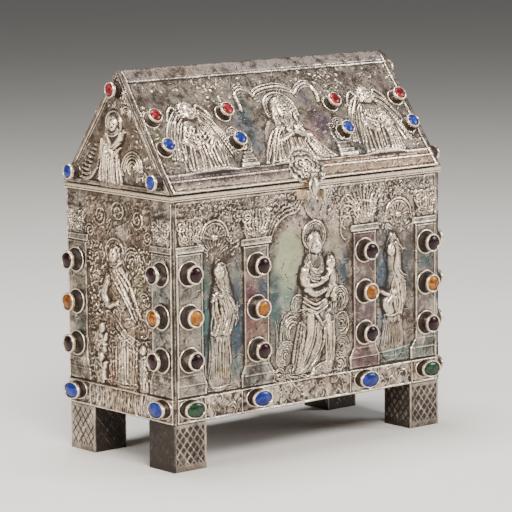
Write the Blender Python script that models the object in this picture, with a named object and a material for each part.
"""A silver reliquary casket: a relief-worked box on four block feet, under a hinged gabled lid.

Lengths are in metres. X runs along the casket, Y from its front to its back, and Z up.
The origin is on the ground, under the middle of the casket.
"""
import math

import bmesh
import bpy
from mathutils import Matrix, Vector
from mathutils.geometry import delaunay_2d_cdt

# Box
CASKET_LENGTH = 0.190
CASKET_DEPTH = 0.091
FOOT_HEIGHT = 0.0255
FOOT_SIDE = 0.0215
WALL_HEIGHT = 0.1174
WALL_SHEET = 0.0018
FLOOR_SHEET = 0.0016
RIM_HEIGHT = 0.0030
RIM_PROUD = 0.0011
RIM_ROUNDING = 0.0005
FOOT_ROUNDING = 0.0005

# Lid
LID_SEAM = 0.0007
LID_OVERHANG = 0.0009
ROOF_RISE = 0.0622
ROOF_SHEET = 0.0015
GABLE_LEAN = 0.0022

# Clearances and drafts
GAP = 0.0003
DRAFT = 0.0002
EDGE_MARGIN = 0.0005

# Stones and their settings: the tube is the bezel's radius, the stone sits inside it
RING_SIDES = 8
HIDDEN_RING_SIDES = 6
KNUCKLE_SIDES = 8
BORE_SIDES = 6
WASHER_RISE = 0.0005
SEAT_DEPTH = 0.0016
STONE_DOME = 0.0011
DOME_SHARE = 0.7
WALL_STONE = 0.0040
WALL_TUBE = 0.0052
WALL_WASHER = 0.0072
WALL_STAND = 0.0066
OVAL_STONE = 0.0058
OVAL_TUBE = 0.0070
OVAL_WASHER = 0.0081
OVAL_STAND = 0.0056
OVAL_SQUASH = 0.68
ROOF_STONE = 0.0033
ROOF_TUBE = 0.0043
ROOF_WASHER = 0.0053
ROOF_STAND = 0.0058
GABLE_WASHER = 0.0047

# Gem columns and rows
FRONT_COLUMN_MARGIN = 0.0103
FRONT_COLUMN_INNER = 0.0386
END_COLUMN_MARGIN = 0.0085
BASE_ROW_UP = 0.0079
LOWEST_ROW_UP = 0.0078
HIGHEST_ROW_DOWN = 0.0105
COLUMN_ROWS = 3
ROOF_COLUMN_MARGIN = 0.0091
ROOF_COLUMN_INNER = 0.0383
ROOF_ROWS = (0.0274, 0.0456)
GABLE_LOW_MARGIN = 0.0102
GABLE_LOW_UP = 0.0060
GABLE_TOP_DOWN = 0.0102

# Architecture of the walls
BASE_BAND = 0.0133
BASE_BAND_RISE = 0.0006
PLINTH_UP = 0.0065
PLINTH_CHAMFER = 0.0050
PLINTH_WIDTH = 0.0222
SHAFT_WIDTH = 0.0176
PILASTER_RISE = 0.0009
PILASTER_STEP = 0.0005
ABACUS_HEIGHT = 0.0036
ABACUS_WIDTH = 0.0204
ABACUS_RISE = 0.0014
CAPITAL_HEIGHT = 0.0154
CAPITAL_LEAVES = 3
CAPITAL_RISE = 0.0022
WALL_TOP_MARGIN = 0.0084
ARCH_RADIUS = 0.0100
ARCH_HALF_WIDTH = 0.0016
ARCH_RISE = 0.0015
ARCH_STEPS = 7

# Architecture of the roof
EAVE_BORDER = 0.0085
RIDGE_BORDER = 0.0060
TREFOIL_RADIUS = 0.0125
MOULDING_HALF_WIDTH = 0.0011
MOULDING_RISE = 0.0010

# Figures: a robe's half widths run from its hem to its shoulders, as shares of its height
FIGURE_RISE = 0.0030
HEAD_RISE = 0.0034
SKIRT = 0.0006
HEAD_RADIUS = 0.0046
SMALL_HEAD_RADIUS = 0.0036
CHILD_HEAD_RADIUS = 0.0028
HEAD_TALL = 1.15
HALO_REACH = 1.75
STANDING_ROBE = (0.15, 0.145, 0.16, 0.18, 0.15, 0.09)
TURNED_ROBE = (0.18, 0.15, 0.19, 0.2, 0.15, 0.08)
SEATED_ROBE = (0.25, 0.26, 0.25, 0.16, 0.18, 0.1)
CHILD_ROBE = (0.2, 0.26, 0.16)
LEANING_ROBE = (0.17, 0.16, 0.14, 0.15, 0.08)
CROUCHED_ROBE = (0.24, 0.26, 0.22, 0.12)
SMALL_ROBE = (0.15, 0.16, 0.15, 0.12)
FRONTAL_ROBE = (0.2, 0.21, 0.18, 0.19, 0.09)
KNEELING_ROBE = (0.5, 0.46, 0.36, 0.2)
FLYING_ROBE = (0.2, 0.24, 0.22, 0.16)
BUST_ROBE = (0.85, 0.95, 0.8, 0.34)
SIDE_ROBE = (0.55, 0.5, 0.36)
GABLE_ROBE = (0.3, 0.32, 0.3, 0.14)
CHILD_ACROSS = 0.0172
CURL_ACROSS = 0.0225
CURL_RADIUS = 0.0034
CURLS = 3
WING_ROOT = 0.0098
WING_SPREAD = 0.0060
FEATHER_WIDTH = 0.0032
CLOUD_PLACE = (0.0135, 0.0115)
CLOUD_RADII = (0.0032, 0.0064)

# Hinge along the back of the lid
HINGE_RADIUS = 0.0019
HINGE_PIN_RADIUS = 0.0007
HINGE_MARGIN = 0.0030
HINGE_KNUCKLES = 5
HINGE_STRIP = 0.0010
LID_STRIP_WIDTH = 0.0030

# Clasp at the middle of the front
LEAF_RADIUS = 0.0135
LEAF_UP = 0.0085
LEAF_LOBES = 3
LEAF_WAIST = 0.56
LEAF_EDGE = 0.0012
LEAF_RISE = 0.0026
LEAF_STEPS = 24
HASP_AXIS_UP = 0.0015
HASP_AXIS_OUT = 0.0032
HASP_BARREL_RADIUS = 0.0015
HASP_BARREL_HALF = 0.0021
HASP_PIN_RADIUS = 0.0005
HASP_EAR_WIDTH = 0.0022
HASP_DROP = 0.0128
HASP_HALF_WIDTH = 0.0043
HASP_HALF_THICK = 0.0015
KEEPER_HALF_WIDTH = 0.0098
KEEPER_HEIGHT = 0.0052
KEEPER_SHEET = 0.0010
KEEPER_DROP = 0.0006
KEEPER_EAR = 0.0014
KEEPER_REACH = 0.0058
KEEPER_PLAY = 0.0009

# Places that follow from the sizes above
WALL_TOP = FOOT_HEIGHT + WALL_HEIGHT
RIM_BOTTOM = WALL_TOP + GAP
RIM_TOP = RIM_BOTTOM + RIM_HEIGHT
EAVE_UP = RIM_TOP + LID_SEAM
HALF_LENGTH = CASKET_LENGTH / 2
HALF_DEPTH = CASKET_DEPTH / 2
LID_HALF_LENGTH = HALF_LENGTH + LID_OVERHANG
LID_HALF_DEPTH = HALF_DEPTH + LID_OVERHANG
ROOF_PITCH = math.atan2(ROOF_RISE, LID_HALF_DEPTH)
SLOPE_LENGTH = math.hypot(ROOF_RISE, LID_HALF_DEPTH)
HINGE_AXIS = Vector((0, HALF_DEPTH + RIM_PROUD + GAP + HINGE_RADIUS, RIM_TOP + LID_SEAM / 2))
PLINTH_FOOT = BASE_BAND + 2 * SKIRT
SHAFT_FOOT = PLINTH_FOOT + PLINTH_UP + PLINTH_CHAMFER
SHAFT_HEAD = WALL_HEIGHT - WALL_TOP_MARGIN - CAPITAL_HEIGHT - ABACUS_HEIGHT
CAPITAL_FOOT = SHAFT_HEAD + ABACUS_HEIGHT + SKIRT


def clear_scene():
    """Empties the scene before modelling."""
    for thing in list(bpy.data.objects):
        bpy.data.objects.remove(thing, do_unlink=True)


def metal(name, colour, roughness):
    """A worn silver finish."""
    material = bpy.data.materials.new(name)
    material.use_nodes = True
    shader = material.node_tree.nodes["Principled BSDF"]
    shader.inputs["Base Color"].default_value = (*colour, 1)
    shader.inputs["Metallic"].default_value = 1.0
    shader.inputs["Roughness"].default_value = roughness
    return material


def gem(name, colour, roughness):
    """A polished cabochon's finish."""
    material = metal(name, colour, roughness)
    material.node_tree.nodes["Principled BSDF"].inputs["Metallic"].default_value = 0.0
    return material


class Face:
    """A flat face of the casket, with its own directions across, up and outwards."""

    def __init__(self, origin, up, out):
        self.origin = Vector(origin)
        self.up = Vector(up).normalized()
        self.out = Vector(out).normalized()
        self.across = self.up.cross(self.out)

    def matrix(self):
        turn = Matrix((self.across, self.up, self.out)).transposed().to_4x4()
        return Matrix.Translation(self.origin) @ turn

    def point(self, across, up, out):
        return self.origin + self.across * across + self.up * up + self.out * out


def slope_face(side):
    """The face of a roof slope: the front one at side -1, the back one at side 1."""
    up = (0, -side * LID_HALF_DEPTH, ROOF_RISE)
    out = (0, side * ROOF_RISE, LID_HALF_DEPTH)
    return Face((0, side * LID_HALF_DEPTH, EAVE_UP), up, out)


class Pivot:
    """An empty that a moving group hangs from, placed on the group's joint axis."""

    def __init__(self, name, place, parent=None):
        self.place = Vector(place)
        self.empty = bpy.data.objects.new(name, None)
        self.empty.empty_display_size = 0.01
        bpy.context.collection.objects.link(self.empty)
        self.empty.parent = parent.empty if parent else None
        self.empty.location = self.place - (parent.place if parent else Vector())


def place_mesh(name, mesh, pivot, matrix=None):
    """Makes an object of a closed mesh, with its faces pointing out."""
    bmesh.ops.recalc_face_normals(mesh, faces=mesh.faces)
    data = bpy.data.meshes.new(name)
    mesh.to_mesh(data)
    mesh.free()
    placed = bpy.data.objects.new(name, data)
    bpy.context.collection.objects.link(placed)
    placed.parent = pivot.empty
    placed.matrix_basis = Matrix.Translation(-pivot.place) @ (matrix or Matrix())
    return placed


def add_object(name, mesh, material, pivot, matrix=None):
    """Makes a piece of the casket."""
    piece = place_mesh(name, mesh, pivot, matrix)
    piece.data.materials.append(material)
    return piece


def add_cutter(name, mesh, pivot, matrix=None):
    """Makes a helper body for a Boolean, kept out of the casket itself."""
    cutter = place_mesh(name, mesh, pivot, matrix)
    cutter.hide_render = True
    cutter.display_type = "WIRE"
    return cutter


def combine(piece, helper, operation):
    """Joins a helper body to a piece, or cuts it away."""
    boolean = piece.modifiers.new(helper.name, "BOOLEAN")
    boolean.operation = operation
    boolean.solver = "EXACT"
    boolean.object = helper


def loft(mesh, rings):
    """Adds a closed body through a row of rings that have the same number of points."""
    face = mesh.faces.new([mesh.verts.new(point) for point in rings[0]])
    for number, ring in enumerate(rings[1:]):
        grown = bmesh.ops.extrude_face_region(mesh, geom=[face])["geom"]
        if number > 0:
            bmesh.ops.delete(mesh, geom=[face], context="FACES_ONLY")
        face = next(item for item in grown if isinstance(item, bmesh.types.BMFace))
        for vert, point in zip(face.verts, ring):
            vert.co = point


def prism(mesh, outline, offset):
    """Adds a closed body: a flat outline moved by an offset."""
    loft(mesh, [outline, [Vector(point) + Vector(offset) for point in outline]])


def block(mesh, low, high):
    """Adds a closed box between two corners."""
    outline = [
        (low[0], low[1], low[2]),
        (high[0], low[1], low[2]),
        (high[0], high[1], low[2]),
        (low[0], high[1], low[2]),
    ]
    prism(mesh, outline, (0, 0, high[2] - low[2]))


def rod(mesh, centre, radius, start, end, sides):
    """Adds a closed round bar along X."""
    outline = []
    for side in range(sides):
        angle = math.tau * (side + 0.5) / sides
        y = centre[1] + radius * math.cos(angle)
        z = centre[2] + radius * math.sin(angle)
        outline.append((start, y, z))
    prism(mesh, outline, (end - start, 0, 0))


def oval(across, up, radius, squash=1.0, sides=RING_SIDES):
    """Points round an oval on a face."""
    points = []
    for side in range(sides):
        angle = math.tau * (side + 0.5) / sides
        points.append((across + radius * math.cos(angle), up + radius * squash * math.sin(angle)))
    return points


def arc(across, up, radius, start, end, steps):
    """Points along an arc on a face, its angles in degrees."""
    points = []
    for step in range(steps + 1):
        angle = math.radians(start + (end - start) * step / steps)
        points.append((across + radius * math.cos(angle), up + radius * math.sin(angle)))
    return points


def inset(outline, distance):
    """An outline moved inwards, for points that run anticlockwise."""
    moved = []
    for index, point in enumerate(outline):
        here = Vector(point)
        before = (here - Vector(outline[index - 1])).normalized()
        after = (Vector(outline[(index + 1) % len(outline)]) - here).normalized()
        inwards = Vector((-before.y - after.y, before.x + after.x))
        reach = distance / max(0.3, inwards.length_squared / 2)
        moved.append(tuple(here + inwards * reach))
    return moved


def beside(line, half_widths):
    """Points on the two sides of a line, whose half width may change along it."""
    left = []
    right = []
    for index, point in enumerate(line):
        before = Vector(line[max(index - 1, 0)])
        after = Vector(line[min(index + 1, len(line) - 1)])
        along = (after - before).normalized()
        aside = Vector((-along.y, along.x)) * half_widths[index]
        left.append(tuple(Vector(point) + aside))
        right.append(tuple(Vector(point) - aside))
    return left, right


class Relief:
    """A metal sheet whose front is worked in relief, from outlines and lines at set heights."""

    def __init__(self, outline, back_low=0.0, back_high=0.0):
        self.points = []
        self.heights = []
        self.edges = []
        self.back_low = back_low
        self.back_high = back_high
        self.low = min(point[1] for point in outline)
        self.high = max(point[1] for point in outline)
        self.right = max(point[0] for point in outline)
        self.ring(outline, 0.0)

    def line(self, points, heights):
        """Adds an open line, each of its points at its own height."""
        first = len(self.points)
        self.points.extend(points)
        self.heights.extend(heights)
        self.edges.extend((first + step, first + step + 1) for step in range(len(points) - 1))

    def ring(self, points, height):
        """Adds a closed outline at one height."""
        first = len(self.points)
        self.line(points, [height] * len(points))
        self.edges.append((first + len(points) - 1, first))

    def plateau(self, outline, ground, rise):
        """Raises a flat field with sloping edges."""
        self.ring(outline, ground)
        self.ring(inset(outline, DRAFT), ground + rise)

    def ridge(self, line, half_widths, ground, rise):
        """Raises a moulding, leaf or limb with one crest along a line."""
        left, right = beside(line, half_widths)
        self.ring(right + left[::-1], ground)
        start = Vector(line[0]).lerp(Vector(line[1]), 0.2)
        end = Vector(line[-1]).lerp(Vector(line[-2]), 0.2)
        crest = [tuple(start), *line[1:-1], tuple(end)]
        self.line(crest, [ground + rise] * len(crest))

    def boss(self, across, up, radius, squash, ground, rise, sides=6):
        """Raises a rounded knob, such as a head or a hand."""
        self.ring(oval(across, up, radius, squash, sides), ground)
        self.ring(oval(across, up, radius * 0.72, squash, sides), ground + rise * 0.8)
        self.points.append((across, up))
        self.heights.append(ground + rise)

    def height_between(self, vert, known):
        """The height of a point where two lines cross: the mean of its neighbours."""
        near = [known[edge.other_vert(vert)] for edge in vert.link_edges if edge.other_vert(vert) in known]
        return sum(near) / len(near) if near else 0.0

    def solid(self, sheet):
        """Builds the closed sheet, flat behind, in its face's own directions."""
        flat = [Vector(point) for point in self.points]
        places, _, faces, sources, _, _ = delaunay_2d_cdt(flat, self.edges, [], 1, 1e-6, True)
        mesh = bmesh.new()
        verts = [mesh.verts.new((place.x, place.y, 0.0)) for place in places]
        for face in faces:
            mesh.faces.new([verts[index] for index in face])
        known = {}
        for vert, source in zip(verts, sources):
            if source:
                known[vert] = max(self.heights[index] for index in source)
        for vert in verts:
            vert.co.z = known[vert] if vert in known else self.height_between(vert, known)
        border = [edge for edge in mesh.edges if edge.is_boundary]
        grown = bmesh.ops.extrude_edge_only(mesh, edges=border)["geom"]
        for vert in (item for item in grown if isinstance(item, bmesh.types.BMVert)):
            share = (vert.co.y - self.low) / (self.high - self.low)
            vert.co.y += self.back_low * (1 - share) + self.back_high * share
            vert.co.z = -sheet
        behind = [item for item in grown if isinstance(item, bmesh.types.BMEdge)]
        bmesh.ops.contextual_create(mesh, geom=behind)
        return mesh


class Setting:
    """The sizes of a stone and of the tube and washer that hold it."""

    def __init__(self, stone, tube, washer, stand, squash=1.0):
        self.stone = stone
        self.tube = tube
        self.washer = washer
        self.stand = stand
        self.squash = squash

    def collet(self, relief, across, up, ground, open_seat):
        """Raises the tube on its washer, with an open seat or with its stone in one piece."""
        top = ground + self.stand
        step = ground + WASHER_RISE
        rings = [(self.washer, ground), (self.tube + DRAFT, step), (self.tube, top)]
        sides = RING_SIDES if open_seat else HIDDEN_RING_SIDES
        if open_seat:
            rings.append((self.stone + GAP + DRAFT, top))
            rings.append((self.stone + GAP, top - SEAT_DEPTH))
        else:
            rings.append((self.stone * DOME_SHARE, top + STONE_DOME))
        for radius, height in rings:
            relief.ring(oval(across, up, radius, self.squash, sides), height)

    def cabochon(self, name, face, across, up, ground, material, pivot):
        """Sets a domed stone in its open seat, as a piece of its own."""
        seat = ground + self.stand - SEAT_DEPTH + GAP
        girdle = ground + self.stand + GAP
        rings = []
        for share, height in ((1.0, seat), (1.0, girdle), (DOME_SHARE, girdle + STONE_DOME - GAP)):
            ring = oval(across, up, self.stone * share, self.squash)
            rings.append([(*point, height) for point in ring])
        mesh = bmesh.new()
        loft(mesh, rings)
        add_object(name, mesh, material, pivot, face.matrix())


WALL_SETTING = Setting(WALL_STONE, WALL_TUBE, WALL_WASHER, WALL_STAND)
OVAL_SETTING = Setting(OVAL_STONE, OVAL_TUBE, OVAL_WASHER, OVAL_STAND, OVAL_SQUASH)
ROOF_SETTING = Setting(ROOF_STONE, ROOF_TUBE, ROOF_WASHER, ROOF_STAND)
GABLE_SETTING = Setting(ROOF_STONE, ROOF_TUBE, GABLE_WASHER, ROOF_STAND)


def rectangle(left, low, right, high):
    """The corners of a rectangle, anticlockwise."""
    return [(left, low), (right, low), (right, high), (left, high)]


def pilaster(relief, across):
    """Raises a shaft on a chamfered plinth, under its abacus, stopping at the sheet's edge."""
    edge = relief.right - EDGE_MARGIN
    sides = []
    for half in (PLINTH_WIDTH / 2, SHAFT_WIDTH / 2, ABACUS_WIDTH / 2):
        sides.append((max(across - half, -edge), min(across + half, edge)))
    (plinth_left, plinth_right), (shaft_left, shaft_right), (bar_left, bar_right) = sides
    outline = [
        (plinth_left, PLINTH_FOOT),
        (plinth_right, PLINTH_FOOT),
        (plinth_right, PLINTH_FOOT + PLINTH_UP),
        (shaft_right, SHAFT_FOOT),
        (shaft_right, SHAFT_HEAD),
        (shaft_left, SHAFT_HEAD),
        (shaft_left, SHAFT_FOOT),
        (plinth_left, PLINTH_FOOT + PLINTH_UP),
    ]
    relief.ring(outline, 0.0)
    relief.ring(inset(outline, PILASTER_STEP), PILASTER_RISE)
    bar = rectangle(bar_left, SHAFT_HEAD + DRAFT, bar_right, SHAFT_HEAD + ABACUS_HEIGHT)
    relief.plateau(bar, 0.0, ABACUS_RISE)


def capital(relief, across, foot, height, reach):
    """Raises a fan of leaves, cut short where the sheet ends."""
    edge = relief.right - EDGE_MARGIN
    for leaf in range(CAPITAL_LEAVES):
        spread = 2 * leaf / (CAPITAL_LEAVES - 1) - 1
        root = across + spread * reach * 0.45
        tip = across + spread * reach
        if abs(tip) + height * 0.12 > edge:
            continue
        tall = height * (1 - 0.18 * abs(spread))
        middle = (root + (tip - root) * 0.3, foot + tall * 0.5)
        line = [(root, foot + SKIRT), middle, (tip, foot + tall - SKIRT)]
        widths = [height * 0.09, height * 0.16, height * 0.08]
        relief.ridge(line, widths, 0.0, CAPITAL_RISE)


def arch(relief, across, up, radius, half_width=ARCH_HALF_WIDTH):
    """Raises a round arch band."""
    line = arc(across, up, radius, 0, 180, ARCH_STEPS)
    relief.ridge(line, [half_width] * len(line), 0.0, ARCH_RISE)


def drapery(relief, foot, height, half_widths, lean=0.0, bow=0.0, folds=2, rise=FIGURE_RISE):
    """Raises a robed body from hem to shoulders, its folds running down it."""
    columns = 2 * folds + 1
    rows = []
    for level, half_width in enumerate(half_widths):
        share = level / (len(half_widths) - 1)
        middle = foot[0] + height * (lean * share + bow * math.sin(math.pi * share))
        row = []
        for column in range(columns):
            aside = 2 * column / (columns - 1) - 1
            row.append((middle + aside * half_width * height, foot[1] + share * height))
        rows.append(row)
    hem = [(across, up - SKIRT) for across, up in rows[0]]
    shoulders = [(across, up + SKIRT) for across, up in reversed(rows[-1])]
    right = [(row[-1][0] + SKIRT, row[-1][1]) for row in rows]
    left = [(row[0][0] - SKIRT, row[0][1]) for row in reversed(rows)]
    relief.ring(hem + right + shoulders + left, 0.0)
    for column in range(columns):
        aside = 2 * column / (columns - 1) - 1
        crest = 1.0 if column % 2 else 0.6
        top = rise * crest * math.sqrt(1 - 0.7 * aside * aside)
        fold = [row[column] for row in rows]
        relief.line(fold, [top] * len(fold))


def figure(relief, foot, height, half_widths, head, halo=False, **drape):
    """Raises a robed figure with its head, and a halo behind the head where it has one."""
    tall = height - 2 * head
    drapery(relief, foot, tall, half_widths, **drape)
    across = foot[0] + tall * drape.get("lean", 0.0)
    up = foot[1] + tall + 2 * SKIRT + head * HEAD_TALL
    relief.boss(across, up, head, HEAD_TALL, 0.0, HEAD_RISE)
    if halo:
        line = arc(across, up, head * HALO_REACH, -18, 198, 6)
        relief.ridge(line, [head * 0.3] * len(line), 0.0, MOULDING_RISE)


def wing(relief, root, tip, width, feathers):
    """Raises a wing as feathers fanned from its root."""
    start = Vector(root)
    span = Vector(tip) - start
    aside = Vector((-span.y, span.x)).normalized()
    for feather in range(feathers):
        spread = (feather - (feathers - 1) / 2) * width
        line = [
            tuple(start + aside * spread * 0.75),
            tuple(start + span * 0.55 + aside * spread * 1.1),
            tuple(start + span * (1 - 0.12 * feather) + aside * spread),
        ]
        relief.ridge(line, [width * 0.25, width * 0.42, width * 0.12], 0.0, MOULDING_RISE * 1.4)


def row_heights():
    """How far up a wall each round stone of a column sits."""
    lowest = SHAFT_FOOT + LOWEST_ROW_UP
    highest = SHAFT_HEAD - HIGHEST_ROW_DOWN
    return [lowest + (highest - lowest) * row / (COLUMN_ROWS - 1) for row in range(COLUMN_ROWS)]


def wall_places(columns):
    """Each stone of a wall: its column, row, setting, place and the height it stands on."""
    places = []
    for number, across in enumerate(columns, start=1):
        places.append((number, 1, OVAL_SETTING, across, BASE_ROW_UP, BASE_BAND_RISE))
        for row, up in enumerate(row_heights(), start=2):
            places.append((number, row, WALL_SETTING, across, up, PILASTER_RISE))
    return places


def wall_relief(half_length, columns, plain_columns=()):
    """A wall sheet with its base band, pilasters and capitals."""
    relief = Relief(rectangle(-half_length, 0, half_length, WALL_HEIGHT))
    edge = half_length - EDGE_MARGIN
    relief.plateau(rectangle(-edge, EDGE_MARGIN, edge, BASE_BAND), 0.0, BASE_BAND_RISE)
    for across in (*columns, *plain_columns):
        pilaster(relief, across)
        capital(relief, across, CAPITAL_FOOT, CAPITAL_HEIGHT, SHAFT_WIDTH * 0.5)
    return relief


def add_wall(name, face, relief, places, stones, colours, silver, pivot):
    """Sets the stones of a wall and makes its sheet; with no colours, they are one with it."""
    for column, row, setting, across, up, ground in places:
        setting.collet(relief, across, up, ground, bool(colours))
        if colours:
            stone_name = f"{stones}_stone_{column}_{row}"
            setting.cabochon(stone_name, face, across, up, ground, colours(column, row), pivot)
    add_object(name, relief.solid(WALL_SHEET), silver, pivot, face.matrix())


def add_walls(silver, gems, pivot):
    """The four walls: ends over the full depth, front and back held between them."""
    inner_half = HALF_LENGTH - WALL_SHEET - GAP
    outer = HALF_LENGTH - FRONT_COLUMN_MARGIN
    columns = (-outer, -FRONT_COLUMN_INNER, FRONT_COLUMN_INNER, outer)
    side_bay = (outer + FRONT_COLUMN_INNER) / 2
    floor = PLINTH_FOOT + SKIRT
    spring = CAPITAL_FOOT + SKIRT
    room = SHAFT_HEAD - floor
    by_row = {1: "blue", 2: "garnet", 3: "amber", 4: "garnet"}

    def front_colour(column, row):
        return gems["green" if row == 1 and column in (1, 4) else by_row[row]]

    def end_colour(_, row):
        return gems[by_row[row]]

    front = wall_relief(inner_half, columns)
    for side in (-1, 1):
        arch(front, side * side_bay, spring, ARCH_RADIUS)
    figure(front, (-side_bay, floor + room * 0.08), room * 0.8, STANDING_ROBE, HEAD_RADIUS)
    foot = (side_bay, floor + room * 0.12)
    figure(front, foot, room * 0.76, TURNED_ROBE, HEAD_RADIUS, lean=-0.04, bow=0.03)
    figure(front, (0, floor), room * 0.92, SEATED_ROBE, HEAD_RADIUS, halo=True, lean=0.04, folds=3)
    foot = (CHILD_ACROSS, floor + room * 0.58)
    figure(front, foot, room * 0.26, CHILD_ROBE, CHILD_HEAD_RADIUS, folds=1)
    for side in (-1, 1):
        for curl in range(CURLS):
            centre = (side * CURL_ACROSS, floor + room * (0.09 + 0.15 * curl))
            ring = arc(*centre, CURL_RADIUS, 90 - side * 90, 90 + side * 150, 4)
            front.ridge(ring, [MOULDING_HALF_WIDTH] * len(ring), 0.0, MOULDING_RISE)
    face = Face((0, -HALF_DEPTH, FOOT_HEIGHT), (0, 0, 1), (0, -1, 0))
    add_wall("front_wall", face, front, wall_places(columns), "front", front_colour, silver, pivot)

    back = wall_relief(inner_half, (-outer, outer), (-FRONT_COLUMN_INNER, FRONT_COLUMN_INNER))
    for across in (-side_bay, 0, side_bay):
        arch(back, across, spring, ARCH_RADIUS)
    face = Face((0, HALF_DEPTH, FOOT_HEIGHT), (0, 0, 1), (0, 1, 0))
    add_wall("back_wall", face, back, wall_places((-outer, outer)), "back", None, silver, pivot)

    end_column = HALF_DEPTH - END_COLUMN_MARGIN
    columns = (-end_column, end_column)
    left = wall_relief(HALF_DEPTH, columns)
    foot = (ARCH_RADIUS * 0.7, floor + room * 0.26)
    figure(left, foot, room * 0.84, LEANING_ROBE, HEAD_RADIUS, lean=-0.16)
    foot = (-ARCH_RADIUS * 1.5, floor + room * 0.12)
    figure(left, foot, room * 0.46, CROUCHED_ROBE, SMALL_HEAD_RADIUS, folds=1)
    figure(left, (ARCH_RADIUS * 1.5, floor), room * 0.4, SMALL_ROBE, SMALL_HEAD_RADIUS, folds=1)
    arch(left, 0.0, spring, ARCH_RADIUS)
    face = Face((-HALF_LENGTH, 0, FOOT_HEIGHT), (0, 0, 1), (-1, 0, 0))
    add_wall("left_end_wall", face, left, wall_places(columns), "left", end_colour, silver, pivot)

    right = wall_relief(HALF_DEPTH, columns)
    figure(right, (0, floor), room * 0.86, FRONTAL_ROBE, HEAD_RADIUS, halo=True)
    face = Face((HALF_LENGTH, 0, FOOT_HEIGHT), (0, 0, 1), (1, 0, 0))
    add_wall("right_end_wall", face, right, wall_places(columns), "right", None, silver, pivot)


def slope_relief():
    """A roof sheet, mitred at the ridge and cut level at the eave."""
    low = LID_HALF_LENGTH - ROOF_SHEET - GAP
    high = low - GABLE_LEAN
    top = SLOPE_LENGTH - GAP / 2 / math.cos(ROOF_PITCH)
    outline = [(-low, 0), (low, 0), (high, top), (-high, top)]
    mitre = -ROOF_SHEET * math.tan(ROOF_PITCH)
    level = ROOF_SHEET / math.tan(ROOF_PITCH)
    return Relief(outline, level, mitre)


def roof_places(columns):
    """Each stone of a roof slope: its column, row and place."""
    places = []
    for number, across in enumerate(columns, start=1):
        for row, up in enumerate(ROOF_ROWS, start=1):
            places.append((number, row, across, up))
    return places


def slope_borders(relief, clear=0.0):
    """Fine mouldings below the ridge and above the eave, the lower one stopping at the clasp."""
    low = LID_HALF_LENGTH - ROOF_SHEET - GAP - 2 * EDGE_MARGIN
    lean = GABLE_LEAN / SLOPE_LENGTH
    for up, start in ((EAVE_BORDER - 2 * SKIRT, clear), (SLOPE_LENGTH - RIDGE_BORDER + 2 * SKIRT, SKIRT)):
        reach = low - lean * up
        for side in (-1, 1):
            line = [(side * (start + SKIRT), up), (side * reach, up)]
            relief.ridge(line, [SKIRT] * len(line), 0.0, MOULDING_RISE * 0.6)


def add_roof(silver, gems, pivot):
    """The two slopes of the lid, with their stones."""
    outer = LID_HALF_LENGTH - ROOF_COLUMN_MARGIN
    columns = (-outer, -ROOF_COLUMN_INNER, ROOF_COLUMN_INNER, outer)
    side_bay = (outer + ROOF_COLUMN_INNER) / 2
    floor = EAVE_BORDER + SKIRT
    room = SLOPE_LENGTH - EAVE_BORDER - RIDGE_BORDER
    colours = {1: gems["blue"], 2: gems["red"]}

    front = slope_relief()
    slope_borders(front, LEAF_RADIUS)
    step = floor + 3 * SKIRT
    foot = (-side_bay - HEAD_RADIUS, step)
    figure(front, foot, room * 0.62, KNEELING_ROBE, HEAD_RADIUS, lean=0.12, folds=3)
    root = (WING_ROOT - side_bay, room * 0.63)
    wing(front, root, (root[0] + WING_SPREAD, room * 0.3), FEATHER_WIDTH, 3)
    figure(front, (side_bay, step), room * 0.66, FLYING_ROBE, HEAD_RADIUS, bow=0.03)
    for side in (-1, 1):
        root = (side_bay + side * WING_ROOT, room * 0.66)
        wing(front, root, (root[0] + side * WING_SPREAD / 2, room * 0.3), FEATHER_WIDTH * 0.9, 2)
        foot = ROOF_ROWS[-1] + ROOF_WASHER + SKIRT
        capital(front, side * ROOF_COLUMN_INNER, foot, room * 0.16, SHAFT_WIDTH * 0.45)
    top = ROOF_ROWS[-1] + ROOF_WASHER
    lobes = arc(-TREFOIL_RADIUS * 1.32, top, TREFOIL_RADIUS * 0.5, 190, 40, 4)
    lobes += arc(0, top + TREFOIL_RADIUS * 0.24, TREFOIL_RADIUS * 0.72, 160, 20, 4)
    lobes += arc(TREFOIL_RADIUS * 1.32, top, TREFOIL_RADIUS * 0.5, 140, -10, 4)
    front.ridge(lobes, [MOULDING_HALF_WIDTH] * len(lobes), 0.0, MOULDING_RISE)
    bust_foot = LEAF_UP + LEAF_RADIUS + 3 * SKIRT
    figure(front, (0, bust_foot), room * 0.37, BUST_ROBE, HEAD_RADIUS, folds=3)
    for side in (-1, 1):
        robe = (side * LEAF_RADIUS * 1.46, step)
        drapery(front, robe, bust_foot - step - 3 * SKIRT, SIDE_ROBE, lean=-0.3 * side, folds=1)
    face = slope_face(-1)
    for column, row, across, up in roof_places(columns):
        ROOF_SETTING.collet(front, across, up, 0.0, True)
        name = f"roof_stone_{column}_{row}"
        ROOF_SETTING.cabochon(name, face, across, up, 0.0, colours[row], pivot)
    add_object("front_roof_slope", front.solid(ROOF_SHEET), silver, pivot, face.matrix())

    back = slope_relief()
    slope_borders(back)
    for across in (-side_bay, 0, side_bay):
        arch(back, across, floor + room * 0.5, ARCH_RADIUS * 1.2)
    for column, row, across, up in roof_places(columns):
        ROOF_SETTING.collet(back, across, up, 0.0, False)
    add_object("back_roof_slope", back.solid(ROOF_SHEET), silver, pivot, slope_face(1).matrix())


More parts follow.
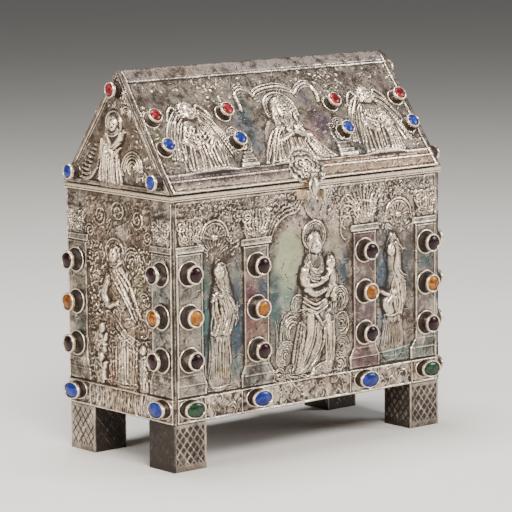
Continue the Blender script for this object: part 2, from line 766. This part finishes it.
def gable_relief(lean_length):
    """A triangular gable sheet that covers the ends of both slopes."""
    point = 2 * EDGE_MARGIN
    outline = [(-LID_HALF_DEPTH, 0), (LID_HALF_DEPTH, 0), (point, lean_length), (-point, lean_length)]
    relief = Relief(outline)
    verge = inset(outline, MOULDING_HALF_WIDTH)
    for side in (1, -1):
        ends = [(verge[1][0] * side, verge[1][1]), (verge[2][0] * side, verge[2][1] - 4 * point)]
        relief.ridge(ends, [MOULDING_HALF_WIDTH * 0.5] * 2, 0.0, MOULDING_RISE * 0.6)
    return relief


def add_gables(silver, gems, pivot):
    """The two ends of the lid, leaning slightly inwards."""
    lean_length = math.hypot(ROOF_RISE, GABLE_LEAN)
    low_across = LID_HALF_DEPTH - GABLE_LOW_MARGIN
    places = {
        "back": (-low_across, GABLE_LOW_UP, gems["blue"]),
        "front": (low_across, GABLE_LOW_UP, gems["blue"]),
        "top": (0.0, lean_length - GABLE_TOP_DOWN, gems["red"]),
    }
    for side, name in ((-1, "left"), (1, "right")):
        shown = side < 0
        relief = gable_relief(lean_length)
        foot = (side * LID_HALF_LENGTH, 0, EAVE_UP)
        face = Face(foot, (-side * GABLE_LEAN, 0, ROOF_RISE), (side * ROOF_RISE, 0, GABLE_LEAN))
        for place, (across, up, colour) in places.items():
            GABLE_SETTING.collet(relief, across, up, 0.0, shown)
            if shown:
                stone_name = f"gable_stone_{place}"
                GABLE_SETTING.cabochon(stone_name, face, across, up, 0.0, colour, pivot)
        hem = (side * HEAD_RADIUS, EDGE_MARGIN * 4)
        figure(relief, hem, ROOF_RISE * 0.54, GABLE_ROBE, SMALL_HEAD_RADIUS, halo=shown, lean=-0.05 * side)
        if shown:
            for radius in CLOUD_RADII:
                cloud = arc(*CLOUD_PLACE, radius, -20, 200, 5)
                relief.ridge(cloud, [MOULDING_HALF_WIDTH * 0.8] * len(cloud), 0.0, MOULDING_RISE)
        add_object(f"{name}_gable", relief.solid(ROOF_SHEET), silver, pivot, face.matrix())


def add_box_frame(silver, pivot):
    """Floor, rim band and feet."""
    mesh = bmesh.new()
    inner_length = HALF_LENGTH - WALL_SHEET - GAP
    inner_depth = HALF_DEPTH - WALL_SHEET - GAP
    low = (-inner_length, -inner_depth, FOOT_HEIGHT)
    block(mesh, low, (inner_length, inner_depth, FOOT_HEIGHT + FLOOR_SHEET))
    add_object("box_floor", mesh, silver, pivot)

    mesh = bmesh.new()
    reach = (HALF_LENGTH + RIM_PROUD, HALF_DEPTH + RIM_PROUD)
    corners = rectangle(-reach[0], -reach[1], reach[0], reach[1])
    face = mesh.faces.new([mesh.verts.new((*corner, RIM_BOTTOM)) for corner in corners])
    face.normal_update()
    bmesh.ops.inset_individual(mesh, faces=[face], thickness=WALL_SHEET + RIM_PROUD)
    bmesh.ops.delete(mesh, geom=[face], context="FACES")
    grown = bmesh.ops.extrude_face_region(mesh, geom=list(mesh.faces))["geom"]
    top = [item for item in grown if isinstance(item, bmesh.types.BMVert)]
    bmesh.ops.translate(mesh, verts=top, vec=(0, 0, RIM_HEIGHT))
    outer = [edge for edge in mesh.edges if rim_edge(edge, reach)]
    bmesh.ops.bevel(mesh, geom=outer, offset=RIM_ROUNDING, segments=1, profile=0.5, affect="EDGES")
    add_object("rim_band", mesh, silver, pivot)

    for side, across in (("left", -1), ("right", 1)):
        for end, deep in (("front", -1), ("back", 1)):
            mesh = bmesh.new()
            xs = sorted((across * HALF_LENGTH, across * (HALF_LENGTH - FOOT_SIDE)))
            ys = sorted((deep * HALF_DEPTH, deep * (HALF_DEPTH - FOOT_SIDE)))
            block(mesh, (xs[0], ys[0], 0), (xs[1], ys[1], FOOT_HEIGHT - GAP))
            upright = [edge for edge in mesh.edges if abs(edge.verts[0].co.z - edge.verts[1].co.z) > GAP]
            bmesh.ops.bevel(mesh, geom=upright, offset=FOOT_ROUNDING, segments=1, profile=0.5, affect="EDGES")
            add_object(f"foot_{end}_{side}", mesh, silver, pivot)


def rim_edge(edge, reach):
    """True for the long outer edges of the rim band."""
    ends = [vert.co for vert in edge.verts]
    level = abs(ends[0].z - ends[1].z) < GAP
    outside = all(abs(abs(end.x) - reach[0]) < GAP and abs(abs(end.y) - reach[1]) < GAP for end in ends)
    return level and outside


def knuckle_spans():
    """Start and end of each hinge knuckle along X."""
    half = HALF_LENGTH - HINGE_MARGIN
    width = 2 * half / HINGE_KNUCKLES
    spans = []
    for knuckle in range(HINGE_KNUCKLES):
        start = -half + knuckle * width
        spans.append((start + GAP / 2, start + width - GAP / 2))
    return spans


def bore(radius):
    """The radius of a faceted hole that clears a pin all round."""
    return (radius + GAP) / math.cos(math.pi / BORE_SIDES)


def add_hinge(silver, steel, box, lid):
    """A strip with knuckles on the rim, another on the back slope, and the pin through both."""
    spans = knuckle_spans()
    start = spans[0][0]
    end = spans[-1][1]
    strip_front = HALF_DEPTH + RIM_PROUD + GAP
    strip_top = HINGE_AXIS.z - HINGE_RADIUS - GAP

    mesh = bmesh.new()
    block(mesh, (start, strip_front, RIM_BOTTOM), (end, strip_front + HINGE_STRIP, strip_top))
    strip = add_object("box_hinge_strip", mesh, silver, box)
    mesh = bmesh.new()
    for low, high in spans[::2]:
        block(mesh, (low, strip_front, RIM_BOTTOM), (high, HINGE_AXIS.y, HINGE_AXIS.z))
    webs = add_cutter("box_knuckle_webs", mesh, box)
    mesh = bmesh.new()
    for low, high in spans[::2]:
        rod(mesh, HINGE_AXIS, HINGE_RADIUS, low, high, KNUCKLE_SIDES)
    knuckles = add_cutter("box_knuckles", mesh, box)
    combine(strip, webs, "UNION")
    combine(strip, knuckles, "UNION")

    slope = slope_face(1)
    mesh = bmesh.new()
    block(mesh, (-end, EDGE_MARGIN, GAP), (-start, LID_STRIP_WIDTH, GAP + HINGE_STRIP))
    leaf = add_object("lid_hinge_strip", mesh, silver, lid, slope.matrix())
    down = (HINGE_AXIS - slope.origin).dot(slope.up)
    mesh = bmesh.new()
    for low, high in spans[1::2]:
        block(mesh, (-high, down, GAP), (-low, LID_STRIP_WIDTH - DRAFT, GAP + HINGE_STRIP + DRAFT))
    webs = add_cutter("lid_knuckle_webs", mesh, lid, slope.matrix())
    mesh = bmesh.new()
    for low, high in spans[1::2]:
        rod(mesh, HINGE_AXIS, HINGE_RADIUS, low, high, KNUCKLE_SIDES)
    knuckles = add_cutter("lid_knuckles", mesh, lid)
    combine(leaf, webs, "UNION")
    combine(leaf, knuckles, "UNION")

    mesh = bmesh.new()
    rod(mesh, HINGE_AXIS, bore(HINGE_PIN_RADIUS), start - GAP, end + GAP, BORE_SIDES)
    hole = add_cutter("hinge_bore", mesh, box)
    combine(strip, hole, "DIFFERENCE")
    combine(leaf, hole, "DIFFERENCE")
    mesh = bmesh.new()
    rod(mesh, HINGE_AXIS, HINGE_PIN_RADIUS, start + GAP, end - GAP, BORE_SIDES)
    add_object("hinge_pin", mesh, steel, box)


def leaf_outline(share):
    """The trefoil outline of the clasp's leaf plate, at a share of its size."""
    points = []
    for step in range(LEAF_STEPS):
        angle = math.tau * step / LEAF_STEPS
        swell = 0.5 + 0.5 * math.cos(LEAF_LOBES * (angle - math.pi / 2))
        radius = LEAF_RADIUS * share * (LEAF_WAIST + (1 - LEAF_WAIST) * swell)
        points.append((radius * math.cos(angle), LEAF_UP + radius * math.sin(angle)))
    return points


def tongue(mesh, axis):
    """Adds the hasp's drop-shaped tongue, from its barrel down to its curled end.

    Each station is its share of the drop, its reach outwards, and its shares of the full
    width and thickness.
    """
    stations = (
        (0.00, 0.0000, 0.40, 0.55),
        (0.18, 0.0007, 0.50, 0.75),
        (0.42, 0.0019, 1.00, 1.00),
        (0.64, 0.0016, 0.80, 0.90),
        (0.84, 0.0012, 0.40, 0.60),
        (1.00, 0.0020, 0.36, 0.55),
        (0.97, 0.0034, 0.30, 0.45),
    )
    rings = []
    for drop, out, width, thick in stations:
        middle = Vector((0, axis.y - out, axis.z - HASP_DROP * drop))
        curled = out == stations[-1][1]
        ring = []
        half_width = HASP_HALF_WIDTH * width
        for across, deep in oval(0, 0, half_width, HASP_HALF_THICK * thick / half_width):
            tip = (across, 0, deep) if curled else (across, deep, 0)
            ring.append(middle + Vector(tip))
        rings.append(ring)
    loft(mesh, rings)


def add_clasp(silver, steel, box, lid):
    """The leaf plate on the lid, the hasp that swings from it, and the keeper on the box."""
    slope = slope_face(-1)
    axis = slope.point(0, HASP_AXIS_UP, HASP_AXIS_OUT)
    hasp_pivot = Pivot("hasp_pivot", axis, lid)

    relief = Relief(leaf_outline(1.0))
    relief.ring(leaf_outline(0.94), LEAF_EDGE)
    for lobe in range(LEAF_LOBES):
        angle = math.pi / 2 + math.tau * lobe / LEAF_LOBES
        line = []
        for share in (0.12, 0.45, 0.82):
            reach = LEAF_RADIUS * share
            line.append((reach * math.cos(angle), LEAF_UP + reach * math.sin(angle)))
        relief.ridge(line, [0.0010, 0.0024, 0.0007], LEAF_EDGE, LEAF_RISE - LEAF_EDGE)
    seat = slope.matrix() @ Matrix.Translation((0, 0, GAP + DRAFT))
    plate = add_object("hasp_plate", relief.solid(DRAFT), silver, lid, seat)
    ear_start = HASP_BARREL_HALF + GAP
    ear_end = ear_start + HASP_EAR_WIDTH
    mesh = bmesh.new()
    for side in (-1, 1):
        low, high = sorted((side * ear_start, side * ear_end))
        half = HASP_BARREL_RADIUS * 0.9
        foot = (low, HASP_AXIS_UP - half * 0.5, GAP + DRAFT)
        block(mesh, foot, (high, HASP_AXIS_UP + half * 1.6, HASP_AXIS_OUT))
    webs = add_cutter("hasp_ear_webs", mesh, lid, slope.matrix())
    mesh = bmesh.new()
    for side in (-1, 1):
        low, high = sorted((side * ear_start, side * ear_end))
        rod(mesh, axis, HASP_BARREL_RADIUS, low, high, RING_SIDES)
    ears = add_cutter("hasp_ears", mesh, lid)
    combine(plate, webs, "UNION")
    combine(plate, ears, "UNION")

    mesh = bmesh.new()
    tongue(mesh, axis)
    hasp = add_object("hasp", mesh, silver, hasp_pivot)
    mesh = bmesh.new()
    rod(mesh, axis, HASP_BARREL_RADIUS, -HASP_BARREL_HALF, HASP_BARREL_HALF, RING_SIDES)
    barrel = add_cutter("hasp_barrel", mesh, hasp_pivot)
    combine(hasp, barrel, "UNION")

    mesh = bmesh.new()
    rod(mesh, axis, bore(HASP_PIN_RADIUS), -ear_end - GAP, ear_end + GAP, BORE_SIDES)
    hole = add_cutter("hasp_bore", mesh, lid)
    combine(plate, hole, "DIFFERENCE")
    combine(hasp, hole, "DIFFERENCE")
    mesh = bmesh.new()
    rod(mesh, axis, HASP_PIN_RADIUS, -ear_end, ear_end, BORE_SIDES)
    add_object("hasp_pin", mesh, steel, lid)

    top = WALL_TOP - KEEPER_DROP
    back = -HALF_DEPTH - GAP
    mesh = bmesh.new()
    low = (-KEEPER_HALF_WIDTH, back - KEEPER_SHEET, top - KEEPER_HEIGHT)
    block(mesh, low, (KEEPER_HALF_WIDTH, back, top))
    keeper = add_object("hasp_keeper", mesh, silver, box)
    mesh = bmesh.new()
    for side in (-1, 1):
        near = HASP_HALF_WIDTH + KEEPER_PLAY
        low, high = sorted((side * near, side * (near + KEEPER_EAR)))
        reach = back - KEEPER_REACH
        block(mesh, (low, reach, top - KEEPER_HEIGHT + DRAFT), (high, back - DRAFT, top - DRAFT))
    ears = add_cutter("keeper_ears", mesh, box)
    combine(keeper, ears, "UNION")


def build_casket():
    """Builds every piece of the casket."""
    clear_scene()
    silver = metal("tarnished_silver", (0.62, 0.58, 0.53), 0.35)
    steel = metal("pin_metal", (0.35, 0.32, 0.30), 0.45)
    gems = {
        "garnet": gem("garnet", (0.10, 0.02, 0.04), 0.12),
        "amber": gem("amber", (0.55, 0.22, 0.04), 0.15),
        "blue": gem("blue_glass", (0.04, 0.08, 0.40), 0.15),
        "green": gem("green_glass", (0.03, 0.12, 0.05), 0.15),
        "red": gem("red_glass", (0.45, 0.03, 0.03), 0.15),
    }
    box = Pivot("casket_base", (0, 0, 0))
    lid = Pivot("lid_pivot", HINGE_AXIS, box)
    add_box_frame(silver, box)
    add_walls(silver, gems, box)
    add_roof(silver, gems, lid)
    add_gables(silver, gems, lid)
    add_hinge(silver, steel, box, lid)
    add_clasp(silver, steel, box, lid)


build_casket()
